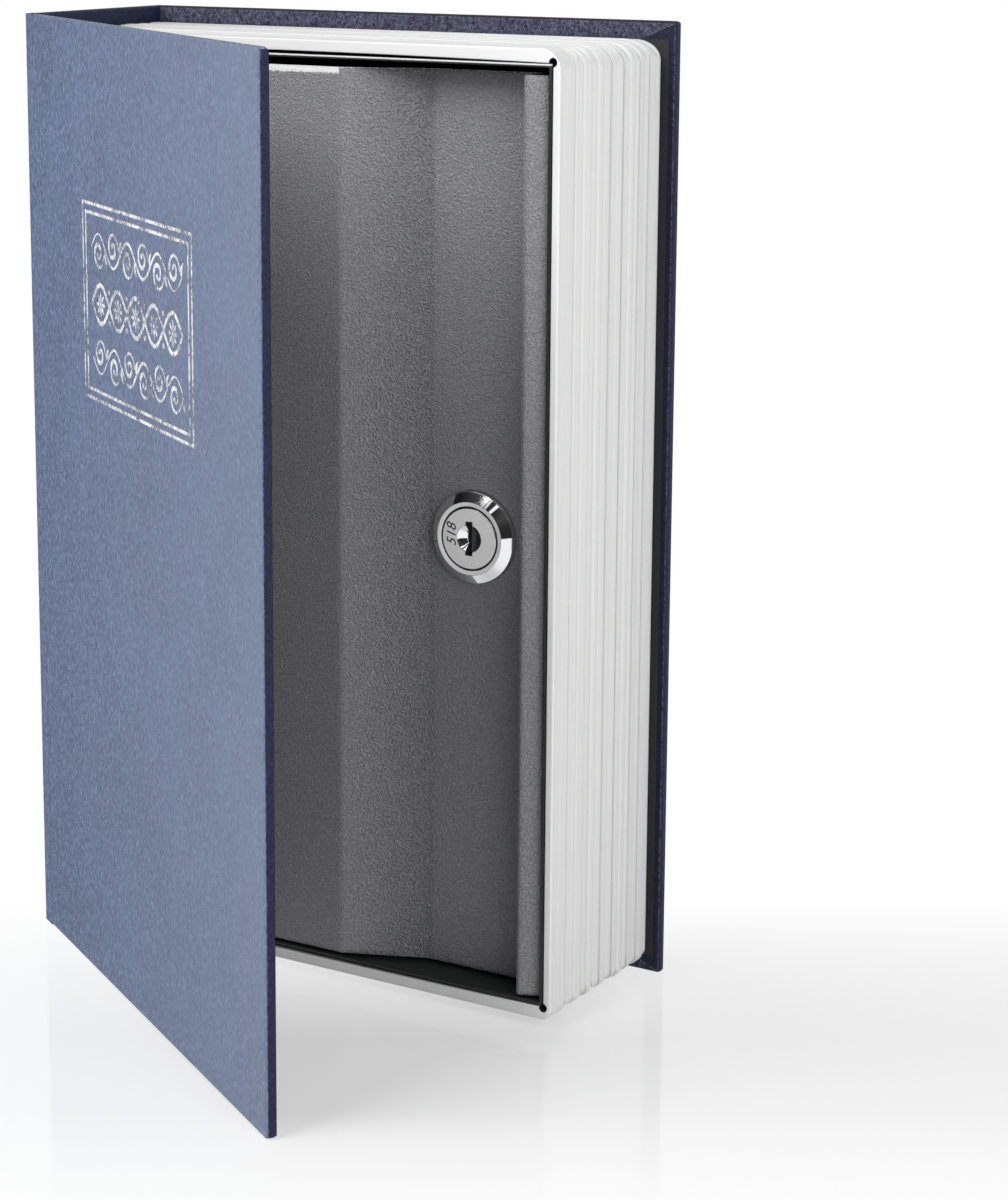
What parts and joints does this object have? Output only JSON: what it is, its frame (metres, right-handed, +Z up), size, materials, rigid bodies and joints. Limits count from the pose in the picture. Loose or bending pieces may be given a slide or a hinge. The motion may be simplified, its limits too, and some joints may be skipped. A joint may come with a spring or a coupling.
{
  "type": "book safe",
  "caption": "Book-shaped safe: cloth-covered case round a moulded page block and a steel tray whose hinged door has a cam lock, standing with its front cover part open.",
  "frame": {"origin": "middle of the spine's tail edge, on the surface that the book stands on", "axes": "+X from the spine to the fore-edge, +Y from the front cover to the back cover, +Z up from tail to head"},
  "size_m": [0.157, 0.1406, 0.24],
  "materials": {
    "cover_cloth": "matt embossed blue book cloth",
    "board": "grey-brown board",
    "liner": "dark navy paper",
    "pages": "satin white moulded plastic",
    "tray_paint": "dark grey paint",
    "door_paint": "grey hammertone powder coat",
    "zinc": "zinc plate",
    "chrome": "polished chrome",
    "foil": "worn silver foil stamped on the cloth"
  },
  "bodies": {
    "root": {"case_cloth": "cover_cloth", "back_board": "board", "back_liner": "liner", "spine_board": "board", "spine_liner": "liner", "page_block": "pages", "steel_tray": "tray_paint", "hinge_leaf": "tray_paint", "hinge_pin": "zinc", "strike_bracket": "tray_paint"},
    "front_fold": {"front_fold_cloth": "cover_cloth"},
    "front_cover": {"front_cloth": "cover_cloth", "front_board": "board", "front_liner": "liner"},
    "door": {"door_panel": "door_paint", "lock_body": "chrome", "lock_washer": "zinc", "lock_nut": "zinc"},
    "lock_core": {"lock_plug": "chrome", "keyway_shutter": "zinc", "lock_cam": "zinc", "cam_washer": "zinc", "cam_screw": "zinc"}
  },
  "joints": [
    {"name": "cover_close", "type": "hinge", "parent": "root", "child": "front_fold", "pos_m": [-0.00125, -0.02775, 0.12], "axis": [0, 0, -1], "range_deg": [-32.8, 0]},
    {"name": "cover_open", "type": "hinge", "parent": "front_fold", "child": "front_cover", "pos_m": [0.00161, -0.02959, 0.12], "axis": [0, 0, -1], "range_deg": [0, 147.2]},
    {"name": "door_swing", "type": "hinge", "parent": "root", "child": "door", "pos_m": [0.00865, -0.02185, 0.11875], "axis": [0, 0, -1], "range_deg": [0, 90]},
    {"name": "lock_turn", "type": "hinge", "parent": "door", "child": "lock_core", "pos_m": [0.1249, -0.01545, 0.1178], "axis": [0, -1, 0], "range_deg": [0, 90]}
  ],
  "couplings": [
    {"joint": "door_swing", "follows": "cover_open", "ratio": 0.6114}
  ]
}
